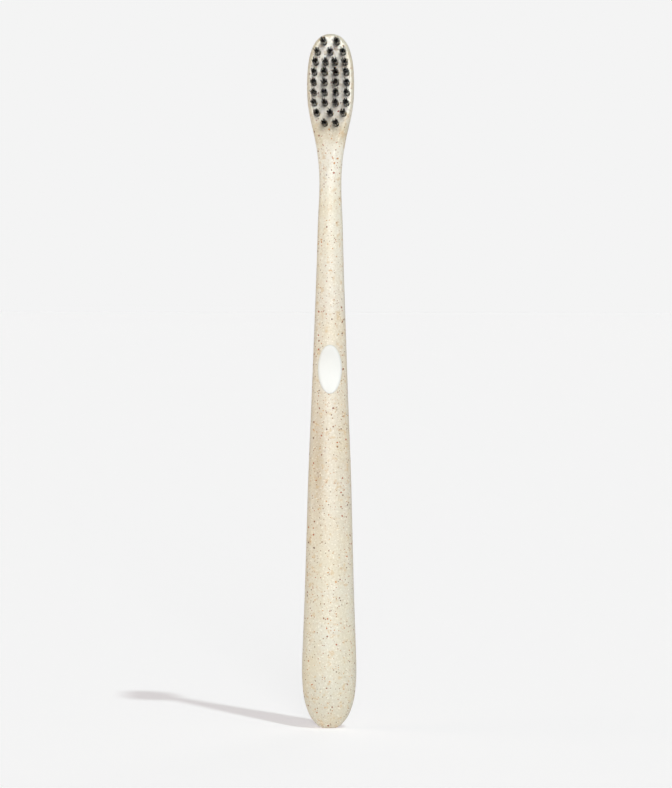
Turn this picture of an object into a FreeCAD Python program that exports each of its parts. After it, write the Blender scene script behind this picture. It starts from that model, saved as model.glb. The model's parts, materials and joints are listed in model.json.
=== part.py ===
import FreeCAD, Part
import Sketcher
import math
import os
import re

# Manual toothbrush: handle and head in one moulding, a soft thumb pad, thirty bristle tufts and their anchors.
# It stands on its foot, with +Z up the handle, +X to the right and the bristles towards -Y.
# All sizes are in millimetres.

# Sizes that can each be set by themselves
sizes = {
    # Handle, an oval bar from the foot to the narrowest place of the neck
    "handle_length": 150.0,
    "handle_width": 14.95,
    "handle_depth": 10.4,
    "foot_height": 15.5,
    "neck_width": 6.0,
    "neck_depth": 4.7,
    # Head, from the narrowest place of the neck to the tip
    "head_length": 40.0,
    "head_width": 12.85,
    "head_thickness": 5.0,
    "tip_length": 15.5,
    # Thumb pad, set into the front of the handle
    "pad_height": 98.5,
    "pad_length": 13.35,
    "pad_width": 6.6,
    "pad_seat_from_middle": 1.9,
    "pad_gap": 0.06,
    "pad_crown": 0.15,
    "pad_edge_radius": 0.2,
    # Tufts and the blind holes that hold them
    "tuft_hole_diameter": 1.7,
    "tuft_hole_depth": 3.5,
    "first_row_drop": 2.45,
    "row_pitch": 2.765,
    "tuft_gap": 0.05,
    "tuft_free_length": 10.5,
    "tuft_spread_diameter": 2.1,
    "tuft_taper_length": 1.7,
    "tuft_end_diameter": 0.8,
    "tuft_fold_height": 0.4,
    "tuft_fold_diameter": 1.0,
    # Anchors, short pieces of flat wire pressed across the holes
    "anchor_thickness": 0.28,
    "anchor_height": 1.5,
    "anchor_length": 2.0,
    "anchor_gap": 0.02,
    # One overrun for all cuts
    "overrun": 20.0,
}

# Foot sections: share of the foot's height, share of the handle's width, share of the handle's depth
foot_shares = [
    (0.0, 0.255, 0.27),
    (0.0226, 0.361, 0.385),
    (0.0774, 0.498, 0.519),
    (0.168, 0.649, 0.663),
    (0.297, 0.783, 0.788),
    (0.477, 0.9, 0.894),
    (0.71, 0.971, 0.962),
    (1.0, 1.0, 1.0),
]

# Grip sections: share of the way from the foot to the neck, and how far width and depth are still the handle's
grip_shares = [
    (0.041, 0.973, 1.0),
    (0.093, 0.913, 0.963),
    (0.152, 0.851, 0.907),
    (0.227, 0.784, 0.833),
    (0.316, 0.713, 0.759),
    (0.405, 0.635, 0.667),
    (0.494, 0.528, 0.556),
    (0.584, 0.419, 0.444),
    (0.673, 0.323, 0.333),
    (0.762, 0.227, 0.222),
    (0.851, 0.138, 0.13),
    (0.926, 0.071, 0.056),
    (1.0, 0.0, 0.0),
]

# Shoulder sections: share of the way from the neck to the widest place of the head, how far the width is
# already the head's, and depth as a share of the section's own width
shoulder_shares = [
    (0.163, 0.058, 0.77),
    (0.327, 0.2, 0.74),
    (0.49, 0.413, 0.73),
    (0.653, 0.684, 0.72),
    (0.816, 0.905, 0.71),
    (1.0, 1.0, 0.7),
]

# Tip sections: share of the tip's length, share of the head's width, depth as a share of the section's width
tip_shares = [
    (0.258, 0.993, 0.71),
    (0.484, 0.948, 0.74),
    (0.665, 0.856, 0.78),
    (0.794, 0.742, 0.81),
    (0.89, 0.59, 0.84),
    (0.955, 0.422, 0.86),
    (0.987, 0.256, 0.86),
    (1.0, 0.15, 0.86),
]

# Radius of an oval's ends, as a share of half its depth
oval_end_share = 0.78

# Places of the tufts, row by row from the tip, as shares of the head's width from its left side
tuft_row_shares = [
    (0.36, 0.64),
    (0.23, 0.5, 0.77),
    (0.19, 0.398, 0.602, 0.81),
    (0.16, 0.384, 0.616, 0.84),
    (0.15, 0.381, 0.619, 0.85),
    (0.15, 0.381, 0.619, 0.85),
    (0.16, 0.384, 0.616, 0.84),
    (0.22, 0.5, 0.78),
    (0.381, 0.619),
]

doc = FreeCAD.newDocument("Toothbrush")
sheet = doc.addObject("Spreadsheet::Sheet", "Sizes")
for line, (alias, value) in enumerate(sizes.items(), start=1):
    sheet.set(f"A{line}", alias)
    sheet.set(f"B{line}", str(value))
    sheet.setAlias(f"B{line}", alias)
doc.recompute()

sub_parts = []
vector = FreeCAD.Vector


def bind(thing, bindings):
    """Ties properties or named constraints of an object to sums of sizes, in the sizes' own names."""
    for place, text in bindings.items():
        cells = re.sub(r"[a-z]\w*", lambda word: f"Sizes.{word[0]}" if word[0] in sizes else word[0], text)
        thing.setExpression(place, cells)


def finished(thing, label):
    """Names a finished piece and lists it for export."""
    thing.Label = label
    sub_parts.append(thing)


def new_sketch(body, name, plane, offset):
    """A sketch parallel to one of the body's own origin planes."""
    sketch = body.newObject("Sketcher::SketchObject", name)
    support = [feature for feature in body.Origin.OriginFeatures if feature.Role == plane][0]
    sketch.AttachmentSupport = (support, [""])
    sketch.MapMode = "FlatFace"
    bind(sketch, {"AttachmentOffset.Base.z": offset})
    return sketch


def draw(sketch, curves, rules, dimensions):
    """Adds curves to a sketch, then its plain constraints, then named dimensions tied to sums of sizes."""
    sketch.addGeometry(curves, False)
    sketch.addConstraint([Sketcher.Constraint(*rule) for rule in rules])
    first = sketch.ConstraintCount
    sketch.addConstraint([Sketcher.Constraint(*places, 1.0) for places, _, _ in dimensions])
    for number, (_, name, text) in enumerate(dimensions, start=first):
        sketch.renameConstraint(number, name)
        bind(sketch, {f"Constraints.{name}": text})


def draw_oval(sketch, width, depth):
    """A level oval of four tangent arcs round the sketch's origin."""
    half_width = f"({width}) / 2"
    half_depth = f"({depth}) / 2"
    end_radius = f"{oval_end_share} * {half_depth}"
    end_centre = f"({half_width} - {end_radius})"
    squares = f"{half_width} * {half_width} + {half_depth} * {half_depth}"
    twice_gap = f"(2 * {half_depth} * (1 - {oval_end_share}))"
    flank_radius = f"({squares} - 2 * {half_width} * {end_radius}) / {twice_gap}"
    # A 10 by 8 oval starts the sketch: end arcs of radius 3 about (2, 0), flank arcs of radius 5.5 about (0, 1.5)
    turn = math.atan2(1.5, 2)
    right, front, left, back = range(4)
    curves = []
    for centre, radius, start, end in (
        (vector(2, 0, 0), 3, -turn, turn),
        (vector(0, -1.5, 0), 5.5, turn, math.pi - turn),
        (vector(-2, 0, 0), 3, math.pi - turn, math.pi + turn),
        (vector(0, 1.5, 0), 5.5, math.pi + turn, 2 * math.pi - turn),
    ):
        curves.append(Part.ArcOfCircle(Part.Circle(centre, vector(0, 0, 1), radius), start, end))
    rules = [
        ("Tangent", right, 2, front, 1),
        ("Tangent", front, 2, left, 1),
        ("Tangent", left, 2, back, 1),
        ("Tangent", back, 2, right, 1),
        ("PointOnObject", right, 3, -1),
        ("PointOnObject", left, 3, -1),
        ("Equal", right, left),
        ("Equal", front, back),
    ]
    dimensions = [
        (("Radius", right), "end_radius", end_radius),
        (("DistanceX", -1, 1, right, 3), "right_centre", end_centre),
        (("DistanceX", left, 3, -1, 1), "left_centre", end_centre),
        (("Radius", front), "flank_radius", flank_radius),
    ]
    draw(sketch, curves, rules, dimensions)


def draw_circles(sketch, circles):
    """Circles, each given by its name, its place from the sketch's origin and its radius."""
    curves = []
    dimensions = []
    for number, (name, across, up, radius) in enumerate(circles):
        curves.append(Part.Circle(vector(1, 1, 0), vector(0, 0, 1), 1))
        dimensions.append((("DistanceX", -1, 1, number, 3), f"across_{name}", across))
        dimensions.append((("DistanceY", -1, 1, number, 3), f"up_{name}", up))
        dimensions.append((("Radius", number), f"radius_{name}", radius))
    draw(sketch, curves, [], dimensions)


def draw_rectangles(sketch, rectangles):
    """Rectangles, each given by its name, its lower left corner from the sketch's origin and its two sides."""
    corners = [vector(1, 1, 0), vector(2, 1, 0), vector(2, 2, 0), vector(1, 2, 0)]
    curves = []
    rules = []
    dimensions = []
    for name, across, up, width, height in rectangles:
        low, right, top, left = range(len(curves), len(curves) + 4)
        curves += [Part.LineSegment(start, end) for start, end in zip(corners, corners[1:] + corners[:1])]
        rules += [("Coincident", low, 2, right, 1), ("Coincident", right, 2, top, 1)]
        rules += [("Coincident", top, 2, left, 1), ("Coincident", left, 2, low, 1)]
        rules += [("Horizontal", low), ("Vertical", right), ("Horizontal", top), ("Vertical", left)]
        dimensions.append((("DistanceX", -1, 1, low, 1), f"across_{name}", across))
        dimensions.append((("DistanceY", -1, 1, low, 1), f"up_{name}", up))
        dimensions.append((("DistanceX", low, 1, low, 2), f"width_{name}", width))
        dimensions.append((("DistanceY", right, 1, right, 2), f"height_{name}", height))
    draw(sketch, curves, rules, dimensions)


def draw_upright_ellipse(sketch, length, width):
    """An ellipse round the sketch's origin, its long axis upright."""
    curve = sketch.addGeometry(Part.Ellipse(vector(0, 2, 0), vector(-1, 0, 0), vector(0, 0, 0)), False)
    sketch.exposeInternalGeometry(curve)
    long_line = curve + 1
    short_line = curve + 2
    rules = [("Coincident", curve, 3, -1, 1), ("Vertical", long_line)]
    dimensions = [
        (("Distance", long_line), "length", length),
        (("Distance", short_line), "width", width),
    ]
    draw(sketch, [], rules, dimensions)


def oval_sections():
    """Height, width and depth of each section of the bar, from the foot to the tip, as sums of sizes."""
    sections = []
    for height, width, depth in foot_shares:
        sections.append((f"{height} * foot_height", f"{width} * handle_width", f"{depth} * handle_depth"))
    for height, width, depth in grip_shares:
        sections.append((
            f"foot_height + {height} * (handle_length - foot_height)",
            f"neck_width + {width} * (handle_width - neck_width)",
            f"neck_depth + {depth} * (handle_depth - neck_depth)",
        ))
    for height, width, depth in shoulder_shares:
        across = f"neck_width + {width} * (head_width - neck_width)"
        sections.append((
            f"handle_length + {height} * (head_length - tip_length)",
            across,
            f"{depth} * ({across})",
        ))
    for height, width, depth in tip_shares:
        sections.append((
            f"handle_length + head_length - tip_length + {height} * tip_length",
            f"{width} * head_width",
            f"{depth} * {width} * head_width",
        ))
    return sections


def bar(name, sections, extra_depth):
    """A body with one smooth skin through oval sections."""
    body = doc.addObject("PartDesign::Body", name)
    drawn = []
    for number, (height, width, depth) in enumerate(sections):
        sketch = new_sketch(body, f"{name}_section_{number}", "XY_Plane", height)
        draw_oval(sketch, width, f"{depth} + {extra_depth}")
        drawn.append(sketch)
    skin = body.newObject("PartDesign::AdditiveLoft", f"{name}_skin")
    skin.Profile = drawn[0]
    skin.Sections = drawn[1:]
    doc.recompute()
    return body


def cut(body, name, sketch, outwards, depth_text=None):
    """A pocket from a sketch on an XZ plane: to a depth behind it, or through all in front or behind."""
    pocket = body.newObject("PartDesign::Pocket", name)
    pocket.Profile = sketch
    pocket.Reversed = outwards
    if depth_text is None:
        pocket.Type = "ThroughAll"
    else:
        bind(pocket, {"Length": depth_text})
    volume_before = pocket.BaseFeature.Shape.Volume
    doc.recompute()
    if pocket.Shape.Volume >= volume_before:
        raise RuntimeError(f"{name} cuts nothing")
    return pocket


def tuft_places():
    """Name, distance from the head's left side and height of each tuft, as sums of sizes."""
    for row, shares in enumerate(tuft_row_shares):
        up = f"handle_length + head_length - first_row_drop - {row} * row_pitch"
        for place, share in enumerate(shares):
            yield row + 1, place + 1, f"{share} * head_width", up


def flatten_head(body):
    """Cuts the front and the back of the head flat, from the narrowest place of the neck up."""
    for side, offset, outwards in (("front", "head_thickness / 2", True), ("back", "-head_thickness / 2", False)):
        sketch = new_sketch(body, f"{side}_cut", "XZ_Plane", offset)
        bind(sketch, {"AttachmentOffset.Base.x": "-overrun"})
        draw_rectangles(sketch, [(side, "0", "handle_length", "2 * overrun", "head_length + overrun")])
        cut(body, f"{side}_face", sketch, outwards)


def make_handle():
    """Handle, neck and head in one moulding, with the tuft holes and the seat of the thumb pad."""
    body = bar("handle_blank", oval_sections(), "0")
    flatten_head(body)
    holes = new_sketch(body, "tuft_hole_places", "XZ_Plane", "head_thickness / 2")
    bind(holes, {"AttachmentOffset.Base.x": "-head_width / 2"})
    circles = [
        (f"{row}_{place}", across, up, "tuft_hole_diameter / 2") for row, place, across, up in tuft_places()
    ]
    draw_circles(holes, circles)
    cut(body, "tuft_holes", holes, False, "tuft_hole_depth")
    seat = new_sketch(body, "pad_seat_outline", "XZ_Plane", "pad_seat_from_middle")
    bind(seat, {"AttachmentOffset.Base.y": "pad_height"})
    draw_upright_ellipse(seat, "pad_length", "pad_width")
    cut(body, "pad_seat", seat, True)
    notches = doc.addObject("Part::Compound", "anchor_notches")
    notches.Links = [
        wire_block(f"notch_{row}_{place}", across, up, "anchor_gap", "anchor_gap")
        for row, place, across, up in tuft_places()
    ]
    notched = doc.addObject("Part::Cut", "handle")
    notched.Base = body
    notched.Tool = notches
    finished(notched, "handle")


def make_thumb_pad():
    """Soft pad that fills its seat and stands a little proud of the handle's front."""
    body = doc.addObject("PartDesign::Body", "thumb_pad")
    outline = new_sketch(body, "pad_outline", "XZ_Plane", "pad_seat_from_middle")
    bind(outline, {"AttachmentOffset.Base.y": "pad_height"})
    draw_upright_ellipse(outline, "pad_length - 2 * pad_gap", "pad_width - 2 * pad_gap")
    block = body.newObject("PartDesign::Pad", "pad_block")
    block.Profile = outline
    bind(block, {"Length": "handle_depth"})
    crown = bar("pad_crown_form", oval_sections()[:-len(shoulder_shares + tip_shares)], "2 * pad_crown")
    doc.recompute()
    trim = body.newObject("PartDesign::Boolean", "pad_trim")
    trim.Type = "Common"
    trim.setObjects([crown])
    doc.recompute()
    front_edges = []
    for number, edge in enumerate(trim.Shape.Edges, start=1):
        if edge.BoundBox.YLength > sheet.pad_crown:
            front_edges.append(f"Edge{number}")
    rounding = body.newObject("PartDesign::Fillet", "pad_edge")
    rounding.Base = (trim, front_edges)
    bind(rounding, {"Radius": "pad_edge_radius"})
    finished(body, "thumb_pad")


def wire_block(name, across, up, gap, rise):
    """The block of one anchor's wire, grown sideways by a gap and outwards by a rise."""
    block = doc.addObject("Part::Box", name)
    bind(block, {
        "Length": f"anchor_length + 2 * {gap}",
        "Width": f"anchor_height + {rise}",
        "Height": f"anchor_thickness + 2 * {gap}",
        "Placement.Base.x": f"{across} - head_width / 2 - anchor_length / 2 - {gap}",
        "Placement.Base.y": f"tuft_hole_depth - head_thickness / 2 - tuft_fold_height - anchor_height - {rise}",
        "Placement.Base.z": f"{up} - anchor_thickness / 2 - {gap}",
    })
    return block


def make_anchors():
    """Short pieces of flat wire, each across the fold of its tuft, with both ends in the walls of the hole."""
    rows = {}
    for row, place, across, up in tuft_places():
        rows.setdefault(row, []).append(wire_block(f"anchor_{row}_{place}", across, up, "0", "0"))
    for row, wires in rows.items():
        group = doc.addObject("Part::Compound", f"anchors_{row}")
        group.Links = wires
        finished(group, f"anchors_row_{row}")


def make_tuft(name, across, up):
    """A bundle folded round its anchor: a tight root in the hole, then a free end that spreads and tapers."""
    root_radius = "tuft_hole_diameter / 2 - tuft_gap"
    spread_radius = "tuft_spread_diameter / 2"
    taper_start = "tuft_hole_depth + tuft_free_length - tuft_taper_length"
    spread_length = "tuft_free_length - tuft_taper_length"
    pieces = []
    for part, low_radius, high_radius, length, start in (
        ("fold", "tuft_fold_diameter / 2", root_radius, "tuft_fold_height", "0"),
        ("root", root_radius, root_radius, "tuft_hole_depth - tuft_fold_height", "tuft_fold_height"),
        ("spread", root_radius, spread_radius, spread_length, "tuft_hole_depth"),
        ("taper", spread_radius, "tuft_end_diameter / 2", "tuft_taper_length", taper_start),
    ):
        if part == "root":
            piece = doc.addObject("Part::Cylinder", f"{part}_{name}")
            bind(piece, {"Radius": low_radius})
        else:
            piece = doc.addObject("Part::Cone", f"{part}_{name}")
            bind(piece, {"Radius1": low_radius, "Radius2": high_radius})
        bind(piece, {"Height": length, "Placement.Base.z": start})
        pieces.append(piece)
    bundle = doc.addObject("Part::MultiFuse", f"bundle_{name}")
    bundle.Shapes = pieces
    window = doc.addObject("Part::Box", f"window_{name}")
    bind(window, {
        "Length": "anchor_length",
        "Width": "anchor_thickness + 2 * anchor_gap",
        "Height": "anchor_height + anchor_gap",
        "Placement.Base.x": "-anchor_length / 2",
        "Placement.Base.y": "-anchor_thickness / 2 - anchor_gap",
        "Placement.Base.z": "tuft_fold_height",
    })
    tuft = doc.addObject("Part::Cut", f"tuft_{name}")
    tuft.Base = bundle
    tuft.Tool = window
    tuft.Placement = FreeCAD.Placement(vector(0, 0, 0), FreeCAD.Rotation(vector(1, 0, 0), 90))
    bind(tuft, {
        "Placement.Base.x": f"{across} - head_width / 2",
        "Placement.Base.y": "tuft_hole_depth - head_thickness / 2",
        "Placement.Base.z": up,
    })
    finished(tuft, f"tuft_{name}")


make_handle()
make_thumb_pad()
make_anchors()
for row, place, across, up in tuft_places():
    make_tuft(f"{row}_{place}", across, up)
doc.recompute()

# Nothing is written unless every object and every piece is sound
for thing in doc.Objects:
    if "Invalid" in thing.State or "Error" in thing.State:
        raise RuntimeError(f"{thing.Label} failed: {thing.State}")
for thing in sub_parts:
    if thing.Shape.isNull() or not thing.Shape.isValid():
        raise RuntimeError(f"{thing.Label} has no sound shape")
os.makedirs("parts", exist_ok=True)
for thing in sub_parts:
    thing.Shape.exportStep(f"parts/{thing.Label}.step")
    print(thing.Label, len(thing.Shape.Solids), "solids,", round(thing.Shape.Volume, 3), "mm3")
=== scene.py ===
import json
import math
import random

import bmesh
import bpy
from mathutils import Matrix, Vector

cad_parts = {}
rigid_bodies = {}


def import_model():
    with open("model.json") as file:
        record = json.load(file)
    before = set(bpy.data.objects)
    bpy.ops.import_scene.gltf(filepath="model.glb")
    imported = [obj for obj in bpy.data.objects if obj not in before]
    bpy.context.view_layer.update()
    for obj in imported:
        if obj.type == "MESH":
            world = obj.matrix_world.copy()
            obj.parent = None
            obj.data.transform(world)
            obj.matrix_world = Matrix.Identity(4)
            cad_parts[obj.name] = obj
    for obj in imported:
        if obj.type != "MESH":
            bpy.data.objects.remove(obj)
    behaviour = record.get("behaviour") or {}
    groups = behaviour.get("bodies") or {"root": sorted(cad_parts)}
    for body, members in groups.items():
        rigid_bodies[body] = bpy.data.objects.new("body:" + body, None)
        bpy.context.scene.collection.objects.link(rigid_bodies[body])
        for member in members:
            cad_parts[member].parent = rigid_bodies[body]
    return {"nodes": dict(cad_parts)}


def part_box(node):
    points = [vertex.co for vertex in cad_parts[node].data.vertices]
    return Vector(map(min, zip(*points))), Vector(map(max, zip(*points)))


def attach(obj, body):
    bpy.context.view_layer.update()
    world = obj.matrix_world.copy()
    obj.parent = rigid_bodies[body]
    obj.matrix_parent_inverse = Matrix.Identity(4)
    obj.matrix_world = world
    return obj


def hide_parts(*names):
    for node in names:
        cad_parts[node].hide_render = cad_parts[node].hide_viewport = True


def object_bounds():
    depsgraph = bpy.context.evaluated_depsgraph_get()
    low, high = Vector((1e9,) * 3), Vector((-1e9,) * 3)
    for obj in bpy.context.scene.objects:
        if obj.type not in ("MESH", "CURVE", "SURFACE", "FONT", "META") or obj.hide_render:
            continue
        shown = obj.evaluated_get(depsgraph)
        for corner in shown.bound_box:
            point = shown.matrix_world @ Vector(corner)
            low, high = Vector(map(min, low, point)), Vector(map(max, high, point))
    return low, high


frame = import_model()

mm = 0.001         # the scene is in metres, the values below are in millimetres
touch = 0.01 * mm  # a point nearer than this to a place counts as on it
scene = bpy.context.scene

# a fresh Blender may open with a cube, a lamp and a camera of its own
for thing in list(bpy.data.objects):
    if thing.type != "EMPTY" and thing.name not in frame["nodes"]:
        bpy.data.objects.remove(thing)
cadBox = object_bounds()
print("frame loaded:", len(frame["nodes"]), "nodes")


# helpers for modelling

def deselectAll():
    if bpy.context.mode != "OBJECT":
        bpy.ops.object.mode_set(mode="OBJECT")
    bpy.ops.object.select_all(action="DESELECT")


def activate(piece):
    deselectAll()
    piece.select_set(True)
    bpy.context.view_layer.objects.active = piece


def pick(kind, test):  # in edit mode, selects the vertices, edges or faces that pass the test
    bpy.ops.mesh.select_mode(type=kind)
    bpy.ops.mesh.select_all(action="DESELECT")
    mesh = bpy.context.edit_object.data
    shape = bmesh.from_edit_mesh(mesh)
    for part in {"VERT": shape.verts, "EDGE": shape.edges, "FACE": shape.faces}[kind]:
        if test(part):
            part.select_set(True)
    bmesh.update_edit_mesh(mesh)


def applyPlace(piece):  # the object goes to the origin and its place into its mesh
    activate(piece)
    bpy.ops.object.transform_apply(location=True, rotation=True, scale=True)


def applyModifier(piece, kind, **settings):
    activate(piece)
    modifier = piece.modifiers.new(kind.lower(), kind)
    for name, value in settings.items():
        setattr(modifier, name, value)
    bpy.ops.object.modifier_apply(modifier=modifier.name)


def closeShape(piece, distance):  # merges the seams and turns every face outwards
    activate(piece)
    bpy.ops.object.mode_set(mode="EDIT")
    bpy.ops.mesh.select_all(action="SELECT")
    bpy.ops.mesh.remove_doubles(threshold=distance)
    bpy.ops.mesh.normals_make_consistent(inside=False)
    bpy.ops.object.mode_set(mode="OBJECT")


# helpers for materials

def linearColour(hexColour):  # sRGB hex to the linear colour that the shaders use
    channels = [int(hexColour[i:i + 2], 16) / 255 for i in (1, 3, 5)]
    return tuple(c / 12.92 if c <= 0.04045 else ((c + 0.055) / 1.055) ** 2.4 for c in channels) + (1.0,)


def addNode(tree, kind, settings=None, inputs=None, stops=None):
    node = tree.nodes.new("ShaderNode" + kind)
    for name, value in (settings or {}).items():
        setattr(node, name, value)
    for socket, value in (inputs or {}).items():
        if isinstance(value, bpy.types.NodeSocket):
            tree.links.new(value, node.inputs[socket])
        else:
            node.inputs[socket].default_value = value
    for number, (position, hexColour) in enumerate(stops or []):
        elements = node.color_ramp.elements
        element = elements[number] if number < 2 else elements.new(position)
        element.position = position
        element.color = linearColour(hexColour)
    return node


def newMaterial(name, shaderInputs):
    # returns the material, its tree, its shader and the object coordinates in mm
    material = bpy.data.materials.new(name)
    material.use_nodes = True
    tree = material.node_tree
    tree.nodes.clear()
    shader = addNode(tree, "BsdfPrincipled", inputs=shaderInputs)
    addNode(tree, "OutputMaterial", inputs={"Surface": shader.outputs["BSDF"]})
    place = addNode(tree, "TexCoord").outputs["Object"]
    inMm = addNode(tree, "Mapping", inputs={"Vector": place, "Scale": [1 / mm] * 3})
    return material, tree, shader, inMm.outputs["Vector"]


def wear(piece, material):
    for slot in piece.material_slots:
        slot.material = material
    if not piece.material_slots:
        piece.data.materials.append(material)


# the handle's plastic

strawPlastic = {
    # what is the same all over the surface, set on the shader itself, here and in the other pieces' values
    "even": {"IOR": 1.49, "Subsurface Weight": 0.12, "Subsurface Radius": (1.0, 0.7, 0.45),
             "Subsurface Scale": 1.2 * mm},
    # height as a share of the brush and the colour there: darker and greener towards the foot, paler up the
    # neck
    "creamsPaintedShadeAndLight": [(0.0, "#BEB9A9"), (0.16, "#C6C1B2"), (0.38, "#C6BDAD"), (0.6, "#C9C1B3"),
               # the dark stops at 0.853 and 0.866 are a painted shadow of the tufts on the neck, the pale
               # ones from 0.886 up painted light on the head's face
               (0.76, "#CFCABC"), (0.8, "#D6D1C4"), (0.838, "#D3CEC0"), (0.853, "#C1B9A6"),
               (0.866, "#BCB4A1"), (0.886, "#ECE8DD"), (0.93, "#FBF7ED")],
    "faceLightDepths": (-2.1, -2.42),     # mm in depth, where the round rim of the head turns into its flat face, which alone goes paler as painted light
    "rimPaintedShadeShare": 0.8725,            # painted shade: the rims and the back of the head take the darker cream of this height
    # each range is where its noise starts to tint, where it tints fully, and the share of tint there
    "straw": "#C9B998",           # clouds where more straw lies under the skin
    "cloudSize": 9.0,             # mm across a cloud
    "cloudRange": (0.38, 0.68, 0.40),
    # painted shade: a darker patch on the left of the grip, its middle and half size in mm, and its share
    "leftPaintedShade": "#AE9C84",
    "leftPaintedShadePlace": ((-3.3, -4.5, 74.0), (2.7, 4.0, 27.0)),
    "leftPaintedShadeMost": 0.72,
    "blotch": "#B9986A",          # flakes of straw that show through from deeper down
    "blotchSize": 1.5,            # mm
    "blotchRange": (0.60, 0.72, 0.45),
    "grain": "#AF9A74",           # the fine mottling, and the clear resin between its grains
    "paleGrain": "#F0EBDC",
    "grainSize": 0.45,            # mm
    "grainRange": (0.53, 0.76, 0.46),
    "paleRange": (0.42, 0.30, 0.36),
    # each size of speck: spacing and radius in mm, share of cells with one, strength, times as tall as wide
    "specks": [
        (0.72, 0.23, 0.72, 0.82, 1.0),
        (1.3, 0.36, 0.70, 0.95, 1.0),
        (1.3, 0.15, 0.80, 0.50, 3.0),
    ],
    "speckStart": (0.0, 5.0, 0.0),
    "speckStep": (17.0, 0.0, 3.0),  # mm, each size of speck is moved on by this, so that none repeats
    "smallestShare": 0.45,        # the least speck of a size, as a share of its radius
    "solidShare": 0.55,           # how much of a speck has its full colour, inside its soft edge
    "speckColours": [(0.0, "#74360F"), (0.24, "#923A10"), (0.42, "#B0742A"), (0.58, "#5A3216"),
                     (0.76, "#A0581A"), (0.9, "#7A4E1E")],
    "speckPull": 0.35,            # mm, how far a speck's outline is pulled out of round
    "pullSize": 0.45,             # mm from one pull to the next
    "roughness": (0.34, 0.50),
    "satinSize": 0.3,             # mm, the moulded satin texture
    "satinDepth": 0.012,
}


def mixCream(tree, place):  # the plastic's colour under its specks, with painted shade and painted light on the head, the neck and the left of the grip
    look = strawPlastic
    way = addNode(tree, "SeparateXYZ", inputs={"Vector": place})
    top = (cadBox[1].z - cadBox[0].z) / mm
    share = addNode(tree, "MapRange", inputs={"Value": way.outputs["Z"], "From Max": top}).outputs["Result"]
    # painted shade and light: the rims and the back of the head stay at the darker tone just above the neck,
    # and only its flat face goes on to the paler creams, painted light where the tufts would shade it
    paintedFaceLight = addNode(tree, "MapRange", inputs={
        "Value": way.outputs["Y"], "From Min": look["faceLightDepths"][0], "From Max": look["faceLightDepths"][1],
        "To Min": look["rimPaintedShadeShare"], "To Max": 1.0}).outputs["Result"]
    share = addNode(tree, "Math", {"operation": "MINIMUM"}, {0: share, 1: paintedFaceLight}).outputs["Value"]
    # the cream by height, with a painted shadow of the tufts on the neck and painted light on the head's face
    base = addNode(tree, "ValToRGB", inputs={"Fac": share}, stops=look["creamsPaintedShadeAndLight"]).outputs["Color"]

    cloud = addNode(tree, "TexNoise", inputs={
        "Vector": place, "Scale": 1 / look["cloudSize"], "Detail": 3.0, "Roughness": 0.55}).outputs["Fac"]
    start, full, most = look["cloudRange"]
    share = addNode(tree, "MapRange", inputs={
        "Value": cloud, "From Min": start, "From Max": full, "To Max": most}).outputs["Result"]
    base = addNode(tree, "Mix", {"data_type": "RGBA"}, {
        0: share, 6: base, 7: linearColour(look["straw"])}).outputs[2]

    # the painted shade on the left of the grip
    middle, halfSize = look["leftPaintedShadePlace"]
    leftPaintedShade = addNode(tree, "Mapping", {"vector_type": "TEXTURE"}, {
        "Vector": place, "Location": middle, "Scale": halfSize}).outputs["Vector"]
    fromMiddle = addNode(tree, "VectorMath", {"operation": "LENGTH"}, {0: leftPaintedShade}).outputs["Value"]
    share = addNode(tree, "MapRange", {"interpolation_type": "SMOOTHSTEP"}, {
        "Value": fromMiddle, "From Min": 1.0, "From Max": 0.0, "To Max": look["leftPaintedShadeMost"]}).outputs["Result"]
    base = addNode(tree, "Mix", {"data_type": "RGBA"}, {
        0: share, 6: base, 7: linearColour(look["leftPaintedShade"])}).outputs[2]

    blotch = addNode(tree, "TexNoise", inputs={
        "Vector": place, "Scale": 1 / look["blotchSize"], "Detail": 1.0}).outputs["Fac"]
    grain = addNode(tree, "TexNoise", inputs={
        "Vector": place, "Scale": 1 / look["grainSize"], "Detail": 2.0}).outputs["Fac"]
    for noise, tint, tintRange in ((blotch, "blotch", "blotchRange"), (grain, "grain", "grainRange"),
                                   (grain, "paleGrain", "paleRange")):
        start, full, most = look[tintRange]
        share = addNode(tree, "MapRange", inputs={
            "Value": noise, "From Min": start, "From Max": full, "To Max": most}).outputs["Result"]
        base = addNode(tree, "Mix", {"data_type": "RGBA"}, {
            0: share, 6: base, 7: linearColour(look[tint])}).outputs[2]
    return base


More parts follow.
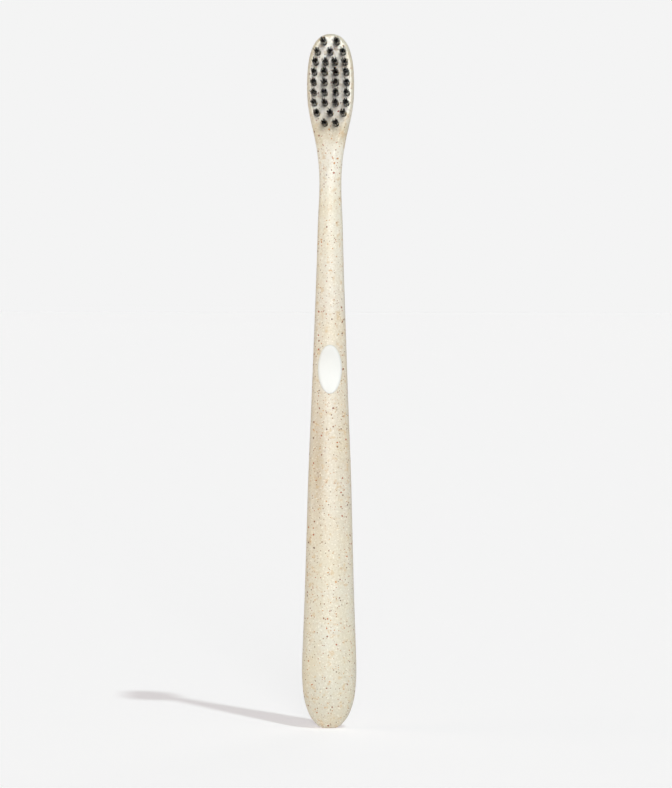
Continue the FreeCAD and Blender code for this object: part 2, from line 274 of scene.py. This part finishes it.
def scatterSpecks(tree, place, base):
    # the specks aren't round, so their coordinates are pulled about a little
    look = strawPlastic
    pull = addNode(tree, "TexNoise", inputs={
        "Vector": place, "Scale": 1 / look["pullSize"], "Detail": 1.0}).outputs["Color"]
    pulled = addNode(tree, "VectorMath", {"operation": "MULTIPLY_ADD"}, {
        0: pull, 1: [look["speckPull"]] * 3, 2: place}).outputs["Vector"]
    for number, (spacing, radius, kept, strength, tall) in enumerate(look["specks"]):
        shift = [start + number * step for start, step in zip(look["speckStart"], look["speckStep"])]
        shifted = addNode(tree, "Mapping", inputs={
            "Vector": pulled, "Location": shift, "Scale": (1.0, 1.0, 1 / tall)}).outputs["Vector"]
        cells = addNode(tree, "TexVoronoi", inputs={"Vector": shifted, "Scale": 1 / spacing})
        chance = addNode(tree, "SeparateColor", inputs={"Color": cells.outputs["Color"]})
        edge = addNode(tree, "MapRange", inputs={
            "Value": chance.outputs["Red"], "To Min": look["smallestShare"] * radius / spacing,
            "To Max": radius / spacing}).outputs["Result"]
        inner = addNode(tree, "Math", {"operation": "MULTIPLY"}, {
            0: edge, 1: look["solidShare"]}).outputs["Value"]
        speck = addNode(tree, "MapRange", {"interpolation_type": "SMOOTHSTEP"}, {
            "Value": cells.outputs["Distance"], "From Min": edge, "From Max": inner,
            "To Max": strength}).outputs["Result"]
        keep = addNode(tree, "Math", {"operation": "LESS_THAN"}, {
            0: chance.outputs["Green"], 1: kept}).outputs["Value"]
        share = addNode(tree, "Math", {"operation": "MULTIPLY"}, {0: speck, 1: keep}).outputs["Value"]
        tint = addNode(tree, "ValToRGB", inputs={"Fac": chance.outputs["Blue"]}, stops=look["speckColours"])
        tint.color_ramp.interpolation = "CONSTANT"
        base = addNode(tree, "Mix", {"data_type": "RGBA"}, {
            0: share, 6: base, 7: tint.outputs["Color"]}).outputs[2]
    return base


def makeStrawPlastic():
    # polypropylene filled with ground wheat straw, injection moulded: warm cream, brown flecks, a satin skin,
    # with painted shade and painted light in its colour on the head, the neck and the left of the grip
    look = strawPlastic
    material, tree, shader, place = newMaterial("wheatStrawPolypropylene", look["even"])
    base = scatterSpecks(tree, place, mixCream(tree, place))
    tree.links.new(base, shader.inputs["Base Color"])
    satin = addNode(tree, "TexNoise", inputs={
        "Vector": place, "Scale": 1 / look["satinSize"], "Detail": 3.0}).outputs["Fac"]
    rough = addNode(tree, "MapRange", inputs={
        "Value": satin, "To Min": look["roughness"][0], "To Max": look["roughness"][1]}).outputs["Result"]
    tree.links.new(rough, shader.inputs["Roughness"])
    bump = addNode(tree, "Bump", inputs={
        "Height": satin, "Strength": 1.0, "Distance": look["satinDepth"] * mm})
    tree.links.new(bump.outputs["Normal"], shader.inputs["Normal"])
    return material


# the thumb pad

thumbPad = {
    "sides": 72,
    "startGap": 2.0,           # mm in front of the frame's pad, from where its rings are laid on the skin
    "wallShare": 1.06,         # where the handle's skin is read for the wall under the edge and for the edge
    "rimShare": 1.03,          # itself, as shares of the pad's half width
    "ringSlack": 0.01,         # a point within this of a ring's share is on that ring
    "edgeReach": 0.045,        # mm past the frame's pad, so that no groove shows round it
    "wallDrop": 0.1,           # mm
    "ringShares": [0.96, 0.915, 0.86, 0.78, 0.66, 0.5, 0.32, 0.14],
    # mm, how far those rings and the middle sink: a shallow dish inside a soft rim
    "dishDepths": [0.12, 0.12, 0.15, 0.25, 0.40, 0.56, 0.68, 0.74, 0.74],
    "seatEdge": 0.2,           # mm, the square corner kept at the back
    "mergeGap": 0.001,         # mm
    "even": {"IOR": 1.50, "Subsurface Weight": 0.2, "Subsurface Radius": (1.0, 0.95, 0.9),
             "Subsurface Scale": 0.8 * mm},
    "whites": ("#D3D2CE", "#CFCECA"),
    "cloudSize": 5.0,          # mm, from one white to the other
    "roughness": (0.42, 0.56),
    "grainSize": 0.12,         # mm, the matt moulded grain
    "grainDepth": 0.006,
}


def raisePad(middle, half, start):  # a flat back drawn forward to rings that lie in one plane
    look = thumbPad
    deselectAll()
    bpy.ops.mesh.primitive_circle_add(vertices=look["sides"], radius=1.0, fill_type="NGON", location=middle,
                                      rotation=(math.pi / 2, 0, 0))
    pad = bpy.context.object
    pad.name = "soft_thumb_pad"
    applyPlace(pad)
    bpy.ops.object.mode_set(mode="EDIT")
    bpy.ops.mesh.select_all(action="SELECT")
    bpy.ops.transform.resize(value=(half.x, 1, half.z), center_override=middle)
    bpy.ops.mesh.extrude_region_move(TRANSFORM_OT_translate={"value": (0, start - middle.y, 0)})
    bpy.ops.transform.resize(value=(look["wallShare"], 1, look["wallShare"]), center_override=middle)
    share = look["wallShare"]
    for ringShare in [look["rimShare"]] + look["ringShares"]:
        bpy.ops.mesh.extrude_region_move()
        bpy.ops.transform.resize(value=(ringShare / share, 1, ringShare / share), center_override=middle)
        share = ringShare
    bpy.ops.mesh.poke()
    bpy.ops.object.mode_set(mode="OBJECT")
    return pad


def layOnFrame(pad, front, shareOf):
    # the edge follows the handle's skin, and the rest the front that the pad has in the frame
    slack = thumbPad["ringSlack"]
    skin = pad.vertex_groups.new(name="skin")
    skin.add([v.index for v in front if shareOf(v) > 1 + slack], 1.0, "REPLACE")
    face = pad.vertex_groups.new(name="face")
    face.add([v.index for v in front if shareOf(v) < 1 - slack], 1.0, "REPLACE")
    for group, node in (("skin", "handle"), ("face", "thumb_pad")):
        applyModifier(pad, "SHRINKWRAP", target=frame["nodes"][node], vertex_group=group,
                      wrap_method="PROJECT", use_project_y=True, use_positive_direction=True,
                      use_negative_direction=False)


def shapePad(pad, middle, half, shareOf):
    # the edge and the wall under it are drawn in to just past the frame's pad, and the rings sink into a dish
    look = thumbPad
    slack = look["ringSlack"]
    betweenShare = (look["wallShare"] + look["rimShare"]) / 2
    activate(pad)
    bpy.ops.object.mode_set(mode="EDIT")
    edges = (("rimShare", lambda v: 1 + slack < shareOf(v) < betweenShare),
             ("wallShare", lambda v: shareOf(v) > betweenShare))
    for name, onEdge in edges:
        pick("VERT", onEdge)
        inward = [(size + look["edgeReach"] * mm) / size / look[name] for size in (half.x, half.z)]
        bpy.ops.transform.resize(value=(inward[0], 1, inward[1]), center_override=middle)
    bpy.ops.transform.translate(value=(0, look["wallDrop"] * mm, 0))
    for ringShare, depth in zip(look["ringShares"] + [0.0], look["dishDepths"]):
        pick("VERT", lambda v: abs(shareOf(v) - ringShare) < slack)
        bpy.ops.transform.translate(value=(0, depth * mm, 0))
    # a square corner at the back, where the pad sits in its seat
    bpy.ops.mesh.select_all(action="SELECT")
    bpy.ops.mesh.bisect(plane_co=(0, middle.y - look["seatEdge"] * mm, 0), plane_no=(0, 1, 0))
    pick("FACE", lambda f: all(abs(v.co.y - middle.y) < touch for v in f.verts))
    bpy.ops.mesh.inset(thickness=look["seatEdge"] * mm)
    bpy.ops.object.mode_set(mode="OBJECT")


def makeThumbPad():
    look = thumbPad
    low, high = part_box("thumb_pad")
    half = (high - low) / 2
    middle = Vector((low.x + half.x, high.y, low.z + half.z))  # of the pad's flat back
    start = low.y - look["startGap"] * mm

    def shareOf(vertex):  # how far out a point lies, as a share of the way to the pad's edge
        return math.hypot((vertex.co.x - middle.x) / half.x, (vertex.co.z - middle.z) / half.z)

    pad = raisePad(middle, half, start)
    layOnFrame(pad, [v for v in pad.data.vertices if v.co.y < (start + middle.y) / 2], shareOf)
    shapePad(pad, middle, half, shareOf)
    applyModifier(pad, "SUBSURF", levels=2, render_levels=2)
    closeShape(pad, look["mergeGap"] * mm)
    bpy.ops.object.shade_smooth()
    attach(pad, "root")
    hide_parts("thumb_pad")
    print("thumb pad:", len(pad.data.polygons), "faces")
    return pad


def makeSoftPadRubber():
    # thermoplastic elastomer, moulded white: matt and faintly grainy, and it scatters light under its skin
    look = thumbPad
    material, tree, shader, place = newMaterial("softWhiteElastomer", look["even"])
    cloud = addNode(tree, "TexNoise", inputs={
        "Vector": place, "Scale": 1 / look["cloudSize"], "Detail": 2.0}).outputs["Fac"]
    base = addNode(tree, "Mix", {"data_type": "RGBA"}, {
        0: cloud, 6: linearColour(look["whites"][0]), 7: linearColour(look["whites"][1])}).outputs[2]
    tree.links.new(base, shader.inputs["Base Color"])
    grain = addNode(tree, "TexNoise", inputs={
        "Vector": place, "Scale": 1 / look["grainSize"], "Detail": 2.0}).outputs["Fac"]
    rough = addNode(tree, "MapRange", inputs={
        "Value": grain, "To Min": look["roughness"][0], "To Max": look["roughness"][1]}).outputs["Result"]
    tree.links.new(rough, shader.inputs["Roughness"])
    bump = addNode(tree, "Bump", inputs={
        "Height": grain, "Strength": 0.6, "Distance": look["grainDepth"] * mm})
    tree.links.new(bump.outputs["Normal"], shader.inputs["Normal"])
    return material


# the bristle tufts

bristles = {
    "holeWidth": 1.7,                          # mm
    "filamentWidth": 0.17,                     # mm
    "filamentSides": 6,
    "filamentCuts": 6,
    "foldSteps": 4,
    "filamentGap": 0.005,                      # mm, between two roots side by side
    "wallGap": 0.015,                          # mm, between the outer roots and the wall of the hole
    "anchorGap": 0.02,                         # mm, between the inner roots and the anchor
    "taperShares": [1.0, 0.94, 0.8, 0.42],     # width left at the last rings, towards the tip
    "bends": [0.05, 0.2, 0.4],                 # mm, how far a tip is bent aside
    "closedRow": 0.09,                         # mm, past the anchor the two halves close up to here
    "spreadShare": 1.12,                       # how far the bundle opens towards its tips
    "clumps": 6,                               # where the tips gather, in a ring round the middle of the tuft
    "clumpReach": 0.66,                        # mm from the middle
    "clumpTurn": 0.35,                         # radians that a clump strays round its ring at most
    "reachShares": (0.55, 1.45),               # and how near or far it stands, as shares of the reach
    "pullShare": 0.28,                         # how far a clump pulls a tip in
    "middleStray": 0.2,                        # mm, one more clump stands about in the middle
    "middleHeightShare": 0.9,                  # and how tall it is, from the shortest to the longest
    "clumpHeightShare": 0.6,                   # how much of a filament's length goes by its clump
    "shortestShare": 0.915,                    # the shortest filament, as a share of the longest
    "jitter": 0.05,                            # mm, how unevenly the tips lie
    "lean": (-0.3, 0.2),                       # mm, all the tufts lean to one side and up
    "seed": 11,
    "mergeGap": 0.0005,                        # mm
    "even": {"IOR": 1.53},
    "blacks": ("#030303", "#0D0C0B"),
    "streakSize": (0.17, 6.0, 0.17),           # mm, streaks of tone as wide as a filament, along it
    "roughness": (0.08, 0.18),
}


def makeFilament(length, bend):
    # one arm of a folded filament: open at the root, tapered to a narrow tip at y = -length
    look = bristles
    radius = look["filamentWidth"] / 2 * mm
    rings = look["filamentCuts"] + 1
    step = length / rings
    deselectAll()
    bpy.ops.mesh.primitive_cylinder_add(vertices=look["filamentSides"], radius=radius, depth=length,
                                        location=(0, -length / 2, 0), rotation=(math.pi / 2, 0, 0))
    filament = bpy.context.object
    applyPlace(filament)
    bpy.ops.object.mode_set(mode="EDIT")
    pick("EDGE", lambda e: abs(e.verts[0].co.y - e.verts[1].co.y) > length / 2)
    bpy.ops.mesh.subdivide(number_cuts=look["filamentCuts"])
    pick("FACE", lambda f: all(v.co.y > -touch for v in f.verts))
    bpy.ops.mesh.delete(type="ONLY_FACE")
    for number in range(1, rings + 1):
        along = -number * step
        pick("VERT", lambda v: abs(v.co.y - along) < step / 4)
        taperNumber = number - (rings + 1 - len(look["taperShares"]))
        if taperNumber >= 0:
            width = look["taperShares"][taperNumber]
            bpy.ops.transform.resize(value=(width, 1, width), center_override=(0, along, 0))
        bpy.ops.transform.translate(value=(bend * mm * (number / rings) ** 2, 0, 0))
    bpy.ops.object.mode_set(mode="OBJECT")
    return filament


def makeFold(height, flatten):
    # the turn of a filament round the anchor's deep edge, pressed flat against the bottom of the hole
    look = bristles
    deselectAll()
    bpy.ops.mesh.primitive_circle_add(vertices=look["filamentSides"], radius=look["filamentWidth"] / 2 * mm,
                                      location=(0, 0, height), rotation=(math.pi / 2, 0, 0))
    fold = bpy.context.object
    applyPlace(fold)
    bpy.ops.object.mode_set(mode="EDIT")
    bpy.ops.mesh.select_all(action="SELECT")
    bpy.ops.mesh.spin(steps=look["foldSteps"], angle=math.pi, center=(0, 0, 0), axis=(-1, 0, 0))
    bpy.ops.mesh.select_all(action="SELECT")
    bpy.ops.transform.resize(value=(1, flatten, 1), center_override=(0, 0, 0))
    bpy.ops.object.mode_set(mode="OBJECT")
    return fold


def rootPlaces(anchorHalf):
    # rows of roots that fill the hole on one side of the anchor, in mm from its middle
    look = bristles
    pitch = look["filamentWidth"] + look["filamentGap"]
    reach = (look["holeWidth"] - look["filamentWidth"]) / 2 - look["wallGap"]
    rows = []
    z = anchorHalf + look["anchorGap"] + look["filamentWidth"] / 2
    while z <= reach:
        half = math.sqrt(reach ** 2 - z ** 2)
        gaps = max(1, int(2 * half // pitch))
        rows.append((z, [half * (2 * i / gaps - 1) for i in range(gaps + 1)]))
        z += pitch * math.sqrt(3) / 2
    return rows


def copyOf(piece, place):  # a copy with its own mesh, moved in its mesh
    mesh = piece.data.copy()
    mesh.transform(place)
    copy = bpy.data.objects.new(piece.name, mesh)
    scene.collection.objects.link(copy)
    return copy


def clumpPlaces(chance):
    # where the tips gather, in mm from the middle of the tuft, and how tall each clump is
    look = bristles
    turned = chance.uniform(0, math.tau)
    astray = look["clumpTurn"]
    clumps = []
    for number in range(look["clumps"]):
        angle = turned + math.tau * number / look["clumps"] + chance.uniform(-astray, astray)
        reach = look["clumpReach"] * chance.uniform(*look["reachShares"])
        clumps.append((reach * math.cos(angle), reach * math.sin(angle), chance.uniform(0, 1)))
    stray = look["middleStray"]
    clumps.append((chance.uniform(-stray, stray), chance.uniform(-stray, stray), look["middleHeightShare"]))
    return clumps


def armShape(root, length, clumps, chance):
    # stretches, turns and leans a filament, whose root is in mm from the tuft's middle, towards a clump
    look = bristles
    clump = min(clumps, key=lambda c: math.hypot(c[0] - root[0], c[1] - root[1]))
    tip = [root[i] * look["spreadShare"] * (1 - look["pullShare"]) + clump[i] * look["pullShare"]
           + chance.gauss(0, look["jitter"]) + look["lean"][i] for i in (0, 1)]
    tall = look["clumpHeightShare"] * clump[2] + (1 - look["clumpHeightShare"]) * chance.random()
    share = look["shortestShare"] + (1 - look["shortestShare"]) * tall
    leaned = Matrix.Identity(4)  # the root's ring stays level, so that it meets the fold
    leaned[0][1] = -(tip[0] - root[0]) * mm / (length * share)
    leaned[2][1] = -(tip[1] - root[1]) * mm / (length * share)
    sides = look["filamentSides"]
    turn = Matrix.Rotation(math.tau * chance.randrange(sides) / sides, 4, "Y")
    return leaned @ Matrix.Diagonal((1, share, 1, 1)) @ turn


def makeTuft(name, node, filaments, folds, rows, seat, anchorTop, chance):
    look = bristles
    low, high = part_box(node)
    centre = Vector(((low.x + high.x) / 2, seat, (low.z + high.z) / 2))
    length = seat - low.y
    clumps = clumpPlaces(chance)
    parts = []
    innermost = rows[0][0]
    outermost = rows[-1][0]
    for (z, xs), fold in zip(rows, folds):
        closing = (innermost - look["closedRow"]) * (outermost - z) / (outermost - innermost)
        for x in xs:
            parts.append(copyOf(fold, Matrix.Translation(centre + Vector((x * mm, 0, 0)))))
            for side in (-1, 1):
                shape = armShape((x, (z - closing) * side), length, clumps, chance)
                place = Matrix.Translation(centre + Vector((x * mm, 0, z * side * mm)))
                arm = copyOf(chance.choice(filaments), place @ shape)
                for vertex in arm.data.vertices:
                    if vertex.co.y < anchorTop:
                        vertex.co.z -= closing * side * mm  # past the anchor the two halves close up
                parts.append(arm)
    deselectAll()
    for part in parts:
        part.select_set(True)
    tuft = parts[0]
    bpy.context.view_layer.objects.active = tuft
    bpy.ops.object.join()
    tuft.name = name
    closeShape(tuft, look["mergeGap"] * mm)
    bpy.ops.object.shade_smooth()
    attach(tuft, "root")
    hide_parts(node)
    return tuft


def makeTufts():
    look = bristles
    nodes = sorted(name for name in frame["nodes"] if name.startswith("tuft_"))
    anchorLow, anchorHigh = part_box("anchors_row_1")
    seat = anchorHigh.y  # the anchor's deep edge, which the filaments are folded round
    low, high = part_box(nodes[0])
    length = seat - low.y
    rows = rootPlaces((anchorHigh.z - anchorLow.z) / 2 / mm)
    outermost = (rows[-1][0] + look["filamentWidth"] / 2) * mm
    flatten = (high.y - seat) / outermost
    filaments = [makeFilament(length, bend) for bend in look["bends"]]
    folds = [makeFold(z * mm, flatten) for z, xs in rows]
    chance = random.Random(look["seed"])
    tufts = [makeTuft(node.replace("tuft", "bristles"), node, filaments, folds, rows, seat, anchorLow.y,
                      chance) for node in nodes]
    for pattern in filaments + folds:
        bpy.data.objects.remove(pattern)
    print("tufts:", len(tufts), "with", sum(len(t.data.polygons) for t in tufts), "faces")
    return tufts


def makeCharcoalNylon():
    # nylon monofilament with charcoal in it, drawn and tapered: near black, smooth along it, a tight gloss
    look = bristles
    material, tree, shader, place = newMaterial("charcoalNylonFilament", look["even"])
    streak = addNode(tree, "Mapping", inputs={
        "Vector": place, "Scale": [1 / size for size in look["streakSize"]]}).outputs["Vector"]
    tone = addNode(tree, "TexNoise", inputs={"Vector": streak, "Scale": 1.0, "Detail": 1.0}).outputs["Fac"]
    base = addNode(tree, "Mix", {"data_type": "RGBA"}, {
        0: tone, 6: linearColour(look["blacks"][0]), 7: linearColour(look["blacks"][1])}).outputs[2]
    tree.links.new(base, shader.inputs["Base Color"])
    rough = addNode(tree, "MapRange", inputs={
        "Value": tone, "To Min": look["roughness"][0], "To Max": look["roughness"][1]}).outputs["Result"]
    tree.links.new(rough, shader.inputs["Roughness"])
    return material


# the anchors

anchorWire = {
    "even": {"Metallic": 1.0},
    "brasses": ("#C9A55A", "#E3C77E"),
    "lineSize": (4.0, 0.08, 0.08),   # mm, the draw lines run along the wire
    "lineDepth": 0.004,
    "roughness": (0.25, 0.45),
}


def makeAnchorBrass():
    # brass flat wire, drawn and chopped: a dull yellow with fine draw lines along the wire
    look = anchorWire
    material, tree, shader, place = newMaterial("drawnBrassWire", look["even"])
    lines = addNode(tree, "Mapping", inputs={
        "Vector": place, "Scale": [1 / size for size in look["lineSize"]]}).outputs["Vector"]
    tone = addNode(tree, "TexNoise", inputs={"Vector": lines, "Scale": 1.0, "Detail": 2.0}).outputs["Fac"]
    base = addNode(tree, "Mix", {"data_type": "RGBA"}, {
        0: tone, 6: linearColour(look["brasses"][0]), 7: linearColour(look["brasses"][1])}).outputs[2]
    tree.links.new(base, shader.inputs["Base Color"])
    rough = addNode(tree, "MapRange", inputs={
        "Value": tone, "To Min": look["roughness"][0], "To Max": look["roughness"][1]}).outputs["Result"]
    tree.links.new(rough, shader.inputs["Roughness"])
    bump = addNode(tree, "Bump", inputs={
        "Height": tone, "Strength": 0.5, "Distance": look["lineDepth"] * mm})
    tree.links.new(bump.outputs["Normal"], shader.inputs["Normal"])
    return material


# the studio

studio = {
    "distance": 1000.0,        # mm from the camera to the brush
    "elevation": 1.5,          # degrees above the horizon
    "aim": (1.68, 0.0, 91.64),  # mm, what the middle of the picture shows
    "roll": 0.14,              # degrees
    "lens": 166.75,
    "nearest": 10.0,           # mm from the camera, nothing nearer is drawn
    "floorSize": 60.0,         # m
    "paper": {"Roughness": 1.0, "Specular IOR Level": 0.0},
    "papers": ("#CBCBCB", "#C9C9C9"),
    "fibreSize": 2.0,          # mm, drawn coarser than real paper fibre so that it shows
    "floorGlow": 0.431,        # the even light that a lit studio sheet gives back
    "glowColour": "#FFF9FB",
    "backColour": "#F4F4F4",
    "airLight": 0.22,
    # name, the way that the light falls, its strength, its colour, how many degrees wide it is (wider is
    # softer), and whether matt skins, glossy ones or both give it back
    "lights": [
        ("shadow_light", (-57.4, 90.7, -190.0), 1.55, "#F2FFFF", 2.2, "both"),
        ("front_light", (-0.06, 1.0, -0.14), 2.02, "#FFFFFF", 13.0, "matt"),
        ("side_light", (1.0, 0.0, -0.1), 1.47, "#FFEED6", 50.0, "matt"),
        ("back_light", (-0.3, -1.0, -0.25), 0.6, "#FFFFFF", 30.0, "matt"),
        ("sheen_light", (-0.05, 0.95, -0.12), 3.9, "#FFFFFF", 50.0, "glossy"),
    ],
}


def makeFloor():
    look = studio
    deselectAll()
    bpy.ops.mesh.primitive_plane_add(size=look["floorSize"], location=(0, 0, 0))
    floor = bpy.context.object
    floor.name = "studio_floor"
    paper, tree, shader, place = newMaterial("mattePaper", {
        **look["paper"], "Emission Color": linearColour(look["glowColour"]),
        "Emission Strength": look["floorGlow"]})
    fibre = addNode(tree, "TexNoise", inputs={"Vector": place, "Scale": 1 / look["fibreSize"]}).outputs["Fac"]
    base = addNode(tree, "Mix", {"data_type": "RGBA"}, {
        0: fibre, 6: linearColour(look["papers"][0]), 7: linearColour(look["papers"][1])}).outputs[2]
    tree.links.new(base, shader.inputs["Base Color"])
    wear(floor, paper)


def makeAir():
    look = studio
    world = bpy.data.worlds.new("studioAir")
    world.use_nodes = True
    scene.world = world
    air = world.node_tree
    air.nodes.clear()
    seen = addNode(air, "LightPath").outputs["Is Camera Ray"]
    light = addNode(air, "Background", inputs={"Color": (1.0, 1.0, 1.0, 1.0), "Strength": look["airLight"]})
    back = addNode(air, "Background", inputs={"Color": linearColour(look["backColour"]), "Strength": 1.0})
    mixed = addNode(air, "MixShader", inputs={0: seen, 1: light.outputs[0], 2: back.outputs[0]})
    addNode(air, "OutputWorld", inputs={"Surface": mixed.outputs[0]})


def makeLights():
    for name, falls, strength, colour, width, skins in studio["lights"]:
        lamp = bpy.data.objects.new(name, bpy.data.lights.new(name, "SUN"))
        lamp.rotation_euler = Vector(falls).to_track_quat("-Z", "Y").to_euler()
        lamp.data.energy = strength
        lamp.data.color = linearColour(colour)[:3]
        lamp.data.angle = math.radians(width)
        lamp.visible_diffuse = skins != "glossy"
        lamp.visible_glossy = skins != "matt"
        scene.collection.objects.link(lamp)


def makeCamera():
    look = studio
    camera = bpy.data.objects.new("camera", bpy.data.cameras.new("camera"))
    rise = math.radians(look["elevation"])
    back = Vector((0, -math.cos(rise), math.sin(rise)))
    camera.location = Vector(look["aim"]) * mm + back * look["distance"] * mm
    camera.rotation_mode = "QUATERNION"
    roll = Matrix.Rotation(math.radians(look["roll"]), 3, "Z").to_quaternion()
    camera.rotation_quaternion = (-back).to_track_quat("-Z", "Y") @ roll
    camera.data.lens = look["lens"]
    camera.data.clip_start = look["nearest"] * mm
    scene.collection.objects.link(camera)
    scene.camera = camera


# putting it together

scene.view_settings.view_transform = "Standard"
makeFloor()
makeAir()
makeLights()
makeCamera()
print("studio ready")

wear(frame["nodes"]["handle"], makeStrawPlastic())
brass = makeAnchorBrass()
for name, node in frame["nodes"].items():
    if name.startswith("anchors_"):
        wear(node, brass)
print("handle and anchors dressed")

wear(makeThumbPad(), makeSoftPadRubber())
nylon = makeCharcoalNylon()
for tuft in makeTufts():
    wear(tuft, nylon)

deselectAll()
